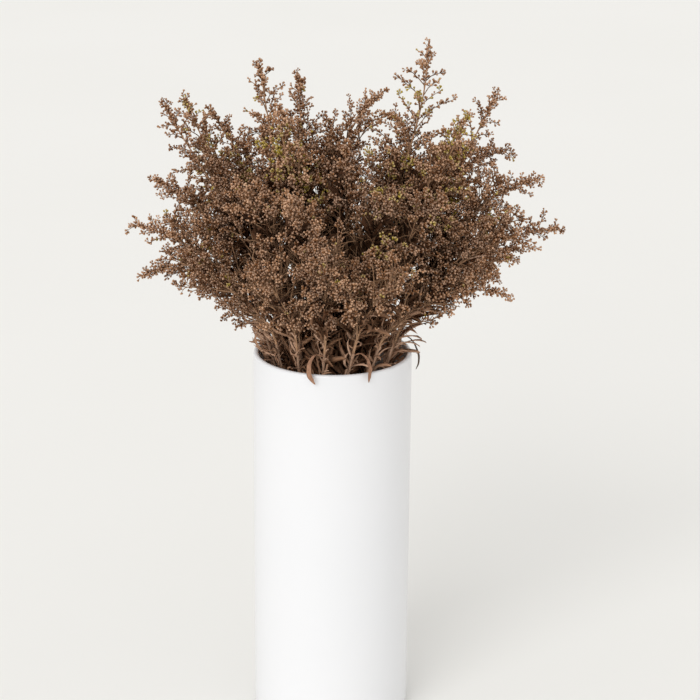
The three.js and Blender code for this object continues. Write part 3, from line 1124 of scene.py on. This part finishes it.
def panicle_tree():
    tree, bench, given = new_tree("goldenrod_panicle", PANICLE_SIZES)
    along = bench.along
    spine = stored(bench, bench.shape("MeshToCurve", given["Geometry"]), "way", along)
    shoots = side_shoots(bench, given, spine)
    axes = bearing_axes(bench, given, spine, shoots)
    branches = branches_on(bench, given, axes)

    # The wood: tubes along all three
    core = resampled(bench, part_of(bench, spine, 0.0, 0.98), SPINE_RINGS)
    spine_tube = tube(bench, core, 6, STEM_NECK_RADIUS * STALK_SHRINK, 0.00035, along**1.8)
    spine_tube = stored(bench, spine_tube, "tone", 1.3)
    shoot_tube = stored(bench, tube(bench, shoots, 3, 0.0008, 0.0003, along), "tone", 1.1)
    wood = joined(bench, spine_tube, shoot_tube, tube(bench, branches, 3, 0.0005, 0.00025, along))
    tone = 0.08 + 0.52 * recalled(bench, "tone") + 0.22 * recalled(bench, "around")
    wood = mapped(bench, wood, TWIGS_FROM + (1 - TWIGS_FROM) * tone, recalled(bench, "way"))
    wood = stored(bench, wood, "is_head", 0.0)

    # The tops of the spine and of each shoot carry heads as a branch does
    crown = joined(bench, part_of(bench, axes, 0.84, 1.0), part_of(bench, spine, given["Club"], 1.0))
    crown = stored(bench, crown, "way", between(0.43, 0.85, along))
    crown = stored(bench, crown, "tone", 0.5)
    heads = heads_on(bench, given, joined(bench, branches, crown))
    is_head = recalled(bench, "is_head") > 0.5
    return finished(tree, bench, joined(bench, wood, heads), twig_brown, (head_brown, is_head))


panicle = panicle_tree()
print("panicle tree:", len(panicle.nodes), "nodes")

# %% [markdown]
# ## Growing the plumes
#
# Each plume is grown on its own spine with its own seed, and stands for its CAD plume. The rings differ:
# the outer sprays branch from close above the lip, and pull their lowest shoots outwards, while the
# inner ones are bare at first and reach for the sky. A few sprays are slimmer than the rest. The helper
# attributes that the tree used on the way are deleted, so that each mesh keeps only its shape, its
# materials and its UV map.

# %% Plumes
HELPERS = ("way", "tone", "around", "is_head", "ahead", "beside", "tint", "share", "longest")
BY_RING = {
    "centre": {},
    "inner": {"Head gap": 0.0022, "Head size": 1.25},
    "middle": {"First branch": 0.20, "Sky pull": 0.4},
    "outer": {"First branch": 0.04, "Sky pull": 0.15, "Outward pull": 1.6, "Club": 0.72},
}
FRONT = (230, 310)
# By the number of the spray
OPENNESS = {2: 0.12, 3: -0.05, 7: 0.05, 10: 0.0}
SLIMNESS = {21: 0.85, 22: 0.82, 23: 0.72, 27: 0.5}
LAST_SHOOT = {2: 0.45}


def forget_helpers(piece):
    for name in HELPERS:
        if name in piece.data.attributes:
            piece.data.attributes.remove(piece.data.attributes[name])


plume_triangles = 0
for number, (spray, line) in enumerate(zip(SPRAYS, spines), 1):
    shades = random.Random(100 + number)
    slimness = SLIMNESS.get(number, 1.0)
    sizes = {**PANICLE_SIZES, **BY_RING[spray.ring], "Olive": spray.olive, "Seed": 1000 * number}
    sizes["Longest branch"] = spray.branch * MM * slimness**0.5
    sizes["Side shoot length"] *= slimness
    sizes["Last shoot"] = LAST_SHOOT.get(number, sizes["Last shoot"])
    sizes["Outward pull"] *= math.cos(math.radians(spray.azimuth)) ** 2
    if spray.ring == "outer" and FRONT[0] < spray.azimuth < FRONT[1]:
        sizes["First branch"] += 0.03
    sizes["Openness"] = OPENNESS.get(number, shades.uniform(-0.25, 0.05))
    sizes["Shade"] = shades.uniform(-0.16, 0.16)
    plume = grow(f"flowering_plume_{number:02d}", [line], panicle, sizes)
    forget_helpers(plume)
    hand_over(plume, "dried_flower", f"plume_{number:02d}")
    plume_triangles += triangles_of(plume)
print("plumes:", plume_triangles, "triangles in all, the last has", triangles_of(plume))


# %% [markdown]
# ## The stalks
#
# Below its plume each spray is a bare stalk, a little thicker at the cut end. A dried stalk shrinks
# between its fibres, so it shows fine ribs, and it swells slightly where leaves once grew. The tree
# sweeps a ribbed ring along the stem and varies its size.

# %% Stalk tree and stalks
STALK_RINGS = 20
STALK_KNOTS = 24
KNOT_SWELL = 0.28
GROOVE = 0.14


def stalk_tree():
    sizes = {"Foot radius": STEM_FOOT_RADIUS, "Neck radius": STEM_NECK_RADIUS, "Ribs": 6, "Seed": 1}
    tree, bench, given = new_tree("goldenrod_stalk", sizes)
    line = resampled(bench, bench.shape("MeshToCurve", given["Geometry"]), STALK_RINGS)
    line = stored(bench, line, "way", bench.along)
    inputs = {"W": bench.along * STALK_KNOTS + given["Seed"], "Scale": 1.0}
    knots = bench.node("ShaderNodeTexNoise", {"noise_dimensions": "1D"}, inputs, "Fac")
    radius = between(given["Foot radius"], given["Neck radius"], bench.along)
    radius = radius * (STALK_SHRINK - KNOT_SWELL / 2 + KNOT_SWELL * knots)
    sides = given["Ribs"] * 2
    groove = bench.vector("SCALE", bench.position, scale=-GROOVE * (bench.index % 2))
    ring = bench.shape("SetPosition", ring_line(bench, sides), Offset=groove)
    around = 1 - bench.math("ABSOLUTE", bench.index * 2 / sides - 1)
    stalk = swept(bench, line, ring, around, radius)
    stalk = mapped(bench, stalk, recalled(bench, "around"), recalled(bench, "way"))
    return finished(tree, bench, stalk, stalk_brown)


bare_stalk = stalk_tree()
for number, ends in enumerate(stems, 1):
    stalk = grow(f"bare_stalk_{number:02d}", [ends], bare_stalk, {"Seed": 50 * number})
    forget_helpers(stalk)
    hand_over(stalk, "dried_stem", f"stem_{number:02d}")
print("stalks:", len(stems), "of", triangles_of(stalk), "triangles, volume", round(volume_of(stalk) * 1e9), "mm3")


# %% [markdown]
# ## Leaves
#
# The leaves of goldenrod are narrow and pointed. Dried, they fold along the midrib, curl and twist. A
# blade is lofted along its midrib: its cross-section is a shallow V, thin at the edges, and it turns on
# the way. The small ones are templates that a tree scatters along the sprays, and the three large ones
# over the lip follow the midribs of their CAD leaves.

# %% Leaf blades
def smooth_line(points, steps):
    """Points on a smooth curve through the given ones"""
    points = [Vector(p) for p in points]
    ends = [2 * points[0] - points[1], *points, 2 * points[-1] - points[-2]]
    line = []
    for k in range(len(points) - 1):
        p0, p1, p2, p3 = ends[k : k + 4]
        for j in range(steps):
            t = j / steps
            square, cube = 2 * p0 - 5 * p1 + 4 * p2 - p3, 3 * p1 - p0 - 3 * p2 + p3
            line.append(0.5 * (2 * p1 + (p2 - p0) * t + square * t * t + cube * t**3))
    return line + [points[-1]]


def blade(name, midrib, across, half_width, thickness, fold, twist, crinkle, half_sides, seed, taper=0.8):
    """A thin closed blade along a midrib, folded, twisted and crinkled"""
    dice = random.Random(seed)
    waves = [(dice.uniform(2, 5), dice.uniform(0, 6.28), dice.choice((-1, 1))) for _ in range(3)]
    section = [-1 + 2 * k / half_sides for k in range(half_sides + 1)]
    loop = [(x, 1) for x in section] + [(x, -1) for x in section[-2:0:-1]]
    size, last = len(loop), len(midrib) - 1
    points, faces = [tuple(midrib[0])], []
    for row in range(1, last):
        share = row / last
        forward = (midrib[row + 1] - midrib[row - 1]).normalized()
        side = (across - forward * across.dot(forward)).normalized()
        side = Matrix.Rotation(twist * share, 3, forward) @ side
        rise = forward.cross(side)
        wide = half_width * math.sin(math.pi * (0.08 + 0.9 * share**taper)) ** 0.9
        for x, face_side in loop:
            ripple = sum(s * math.sin(f * 2 * math.pi * share + p) for f, p, s in waves) * crinkle * abs(x)
            lift = (fold * abs(x) + ripple) * wide
            depth = face_side * thickness / 2 * (1 - 0.75 * x * x)
            points.append(tuple(midrib[row] + side * x * wide + rise * (lift + depth)))
    points.append(tuple(midrib[-1]))

    def corner(row, k):
        """A corner of a face: the number of its point, and its place in the map"""
        at_end = row in (0, last)
        index = max(0, 1 + (row - 1) * size) + (0 if at_end else k)
        x = 0.0 if at_end else loop[k][0]
        return index, (0.5 + 0.48 * x, 0.01 + 0.98 * row / last)

    for k in range(size):
        n = (k + 1) % size
        faces.append([corner(0, k), corner(1, k), corner(1, n)])
        for row in range(1, last - 1):
            faces.append([corner(row, k), corner(row + 1, k), corner(row + 1, n), corner(row, n)])
        faces.append([corner(last - 1, k), corner(last, k), corner(last - 1, n)])
    piece = mapped_template(name, points, faces)
    piece.data.polygons.foreach_set("use_smooth", [True] * len(faces))
    turn_outwards(piece)
    return piece


# The twist of each, and its midrib from its foot at the origin
LEAF_SHAPES = {
    "leaf_1_arched": (0.5, [(0.28, 0, 0.07), (0.55, 0.02, 0.10), (0.82, 0.04, 0.07), (1.0, 0, 0.00)]),
    "leaf_2_hooked": (1.2, [(0.32, 0, 0.2), (0.62, 0.04, 0.22), (0.84, 0.08, 0.05), (0.9, 0.08, -0.18)]),
    "leaf_3_straight": (-0.8, [(0.25, 0, 0.02), (0.5, 0.03, 0.05), (0.76, 0.05, 0.04), (1.0, 0.02, 0.0)]),
    "leaf_4_curled": (0.8, [(0.32, 0, 0.05), (0.64, 0, 0.06), (0.9, 0.03, -0.02), (1.0, 0.04, -0.1)]),
    "leaf_5_wavy": (1.5, [(0.25, 0, 0.12), (0.5, -0.06, 0.08), (0.75, 0.05, 0.18), (0.95, 0.1, 0.12)]),
}
LEAF_BEND = dict(across=Vector((0, 1, 0)), thickness=0.02, fold=0.45, crinkle=0.12, half_sides=2)
leaf_store = bpy.data.collections.new("leaflets")
shade_store = bpy.data.collections.new("shaded_leaflets")
for seed, (name, (twist, midrib)) in enumerate(LEAF_SHAPES.items()):
    for store, steps, half_width in ((leaf_store, 2, 0.072), (shade_store, 1, 0.08)):
        line = smooth_line([(0, 0, 0), *midrib], steps)
        template = blade(f"{name}_{steps}", line, half_width=half_width, twist=twist, seed=seed, **LEAF_BEND)
        store.objects.link(template)
        print(template.name, triangles_of(template), "triangles")


# %% [markdown]
# ## Scattering the small leaves
#
# Two kinds of small leaves stay on the sprays. Tan ones stand along the stalks round the mouth, up to
# where the flowers start, and at the sides they lean outwards. Dark ones fill the shade inside the
# bunch, where a real one is so dense with withered leaves that no daylight comes through, and their
# near-black colour is painted shade, a little lighter low in the mouth. One tree grows either kind.
# Both are pressed inwards at the lip, as the wall does.

# %% Leaflet tree
MOUTH_RADIUS = VASE_RADIUS - WALL - 0.002
MOUTH_HEIGHT = VASE_HEIGHT + 0.0006
MOUTH_FLARE = 6
MOUTH_LEAVES_UP_TO = 0.340
DARK_CORE_RADIUS = 0.040
DARK_CORE_WIDENS_AT = 0.36
LEAF_SIZES = {
    "leaflets": {"Leaf gap": 0.0021, "Leaf length": 0.0155},
    "shaded_leaves": {"Leaf gap": 0.00112, "Leaf length": 0.027},
}


def kept_in_vase(bench, leaves):
    """Presses whatever is lower than the lip inwards, so that nothing passes through the wall"""
    x, y, z = bench.split(bench.position)
    above = bench.math("MAXIMUM", z - MOUTH_HEIGHT, 0.0)
    shrink = bench.math("MINIMUM", (MOUTH_RADIUS + above * MOUTH_FLARE) / reach_of(bench, x, y), 1.0)
    return bench.shape("SetPosition", leaves, Position=bench.combined(x * shrink, y * shrink, z))


def leaflet_tree(name, store, in_shade):
    """Scatters leaves along lines: in the shade inside the bunch, or round the mouth and a few further out"""
    tree, bench, given = new_tree(f"goldenrod_{name}", {**LEAF_SIZES[name], "Seed": 1})
    line = stored(bench, bench.shape("MeshToCurve", given["Geometry"]), "way", bench.along)
    seats, tangent, normal = seats_along(bench, line, Length=given["Leaf gap"])
    x, y, height = bench.split(bench.position)
    reach = reach_of(bench, x, y)
    low = height < MOUTH_LEAVES_UP_TO
    in_core = low * (reach < DARK_CORE_RADIUS + 0.6 * (height - VASE_HEIGHT))
    edge = 1.1 + 0.3 * bench.over(height, DARK_CORE_WIDENS_AT, slope=30)
    inside = in_core + (1 - low) * bench.over(edge, from_middle(bench), slope=5)
    kept = inside if in_shade else (1 - inside * 0.8) * (0.05 + 0.85 * low)
    fallen = chance(bench, 0.0, 1.0, 7) > kept
    seats, tangent, normal = thinned(bench, seats, tangent, normal, fallen)
    outward = turned_about(bench, normal, tangent, golden_turn(bench, 0.7, 1))
    along_more = bench.vector("SCALE", tangent, scale=chance(bench, 0.3, 3.0, 2))
    direction = bench.vector("ADD", outward, along_more)
    length = given["Leaf length"] * chance(bench, 0.5, 1.2, 4) * (1.1 - 0.3 * recalled(bench, "way"))
    if in_shade:
        # The shaded leaves get a near-black tint, painted shade, lighter low in the mouth
        tint = chance(bench, 0.02, 0.16, 6) + 0.22 * low
    else:
        beside_it = x * x / (reach * reach)
        away = bench.combined(x / reach, y / reach, 0.0)
        away = bench.vector("SCALE", away, scale=chance(bench, 0.0, 1.0, 8) * (0.5 + 1.2 * beside_it))
        direction = bench.vector("ADD", direction, away)
        length = length * (0.95 + 0.35 * beside_it)
        tint = chance(bench, 0.40, 1.0, 6)
    rotation = turned_by(bench, pointed(bench, "X", direction), (1, 0, 0), chance(bench, -1.0, 1.0, 3))
    leaves, tint, around, rise = scattered(bench, seats, store, rotation, length, tint, 5)
    leaves = kept_in_vase(bench, leaves)
    leaves = mapped(bench, leaves, 0.02 + 0.8 * tint + 0.16 * around, rise)
    return finished(tree, bench, leaves, leaf_brown)


scatters = {
    "leaflets": leaflet_tree("leaflets", leaf_store, False),
    "shaded_leaves": leaflet_tree("shaded_leaves", shade_store, True),
}
print("leaf trees:", {name: len(tree.nodes) for name, tree in scatters.items()}, "nodes")

# %% Leaflets by ring
LEAVES_FROM = {"leaflets": 0.034, "shaded_leaves": 0.045}
LEAVES_UP_TO = 0.80

for seed, ring in enumerate(RINGS, 1):
    for name, scatter in scatters.items():
        lines = []
        for spray, (foot, neck), spine in zip(SPRAYS, stems, spines):
            if spray.ring == ring:
                low = neck + (foot - neck) * (LEAVES_FROM[name] / (neck - foot).length)
                lines.append([low, neck, *spine[1 : int(SPINE_POINTS * LEAVES_UP_TO)]])
        leaflet_piece = grow(f"{name}_{ring}", lines, scatter, {"Seed": 300 * seed, **LEAF_SIZES[name]})
        forget_helpers(leaflet_piece)
        hand_over(leaflet_piece, "dried_leaf")
        print(leaflet_piece.name, triangles_of(leaflet_piece), "triangles")

# %% [markdown]
# ## The leaves over the lip
#
# Three larger leaves hang out over the lip, two in front and a thin dark one on the right. Their midribs
# are the CAD model's, and they keep its length, but the blade folds, twists and crinkles. It is narrow
# at its foot and widest near its tip.


# %% Hanging leaves
def leaf_skin(name, dark, light):
    material, bench, shader = new_material(name, Specular_IOR_Level=0.3, IOR=1.45)
    place = bench.node("ShaderNodeTexCoord", {}, {}, "Object")
    blotch = noise(bench, place, scale=260.0, detail=3.0)
    vein = noise(bench, bench.vector("MULTIPLY", place, (1.0, 1.0, 0.25)), scale=1600.0)
    colour = blend(bench, blotch, dark, light)
    colour = blend(bench, bench.over(vein, 0.5, slope=3), colour, paint(86, 56, 40))
    dress(bench, shader, colour, 0.6 + 0.25 * blotch, vein, strength=0.4, distance=0.0002)
    return material


tan_leaf = leaf_skin("tan_leaf", paint(136, 98, 74), paint(186, 142, 114))
dark_leaf = leaf_skin("dark_leaf", paint(60, 46, 38), paint(98, 80, 62))
# Outer slot of the stem that it grows on, height where it leaves, half width, twist, skin and midrib
HANGING = [
    (11, 303, 2.3, 0.5, tan_leaf,
     [(-12, -54, 306), (-16, -57.5, 301), (-16.5, -60.5, 295), (-14.5, -62, 290), (-12, -62.5, 286)]),
    (12, 303, 2.0, -0.6, tan_leaf,
     [(21, -50, 306), (26, -52.5, 302), (27.5, -55, 296), (27, -57, 290), (27, -57.5, 286)]),
    (0, 302, 1.2, 0.8, dark_leaf,
     [(55, -1.5, 304), (60.5, -2.5, 300), (64, -3.5, 292), (65, -4, 285), (63, -4, 278)]),
]
HANGING_BEND = dict(thickness=0.0006, fold=0.35, crinkle=0.08, half_sides=6, taper=2.0)
for number, (slot, leaves_at, half_width, twist, skin, midrib) in enumerate(HANGING, 1):
    foot, neck, along = stem_of("outer", slot)
    joint = foot + (neck - foot) * (leaves_at * MM - foot.z) / (neck.z - foot.z)
    line = smooth_line([joint, *[Vector(p) * MM for p in midrib]], 7)
    middle = line[len(line) // 2]
    across = Vector((-middle.y, middle.x, 0)).normalized()
    shape = dict(half_width=half_width * MM, twist=twist, seed=number, **HANGING_BEND)
    leaf = blade(f"hanging_leaf_{number}", line, across, **shape)
    bpy.context.scene.collection.objects.link(leaf)
    leaf.data.materials.append(skin)
    hand_over(leaf, "dried_leaf", f"leaf_{number}")
    print(leaf.name, triangles_of(leaf), "triangles")

# %% [markdown]
# ## Finishing
#
# The templates are no part of the object, so they are deleted.

# %% Clear away
for store in (head_store, leaf_store, shade_store):
    for template in list(store.objects):
        bpy.data.objects.remove(template)
    bpy.data.collections.remove(store)
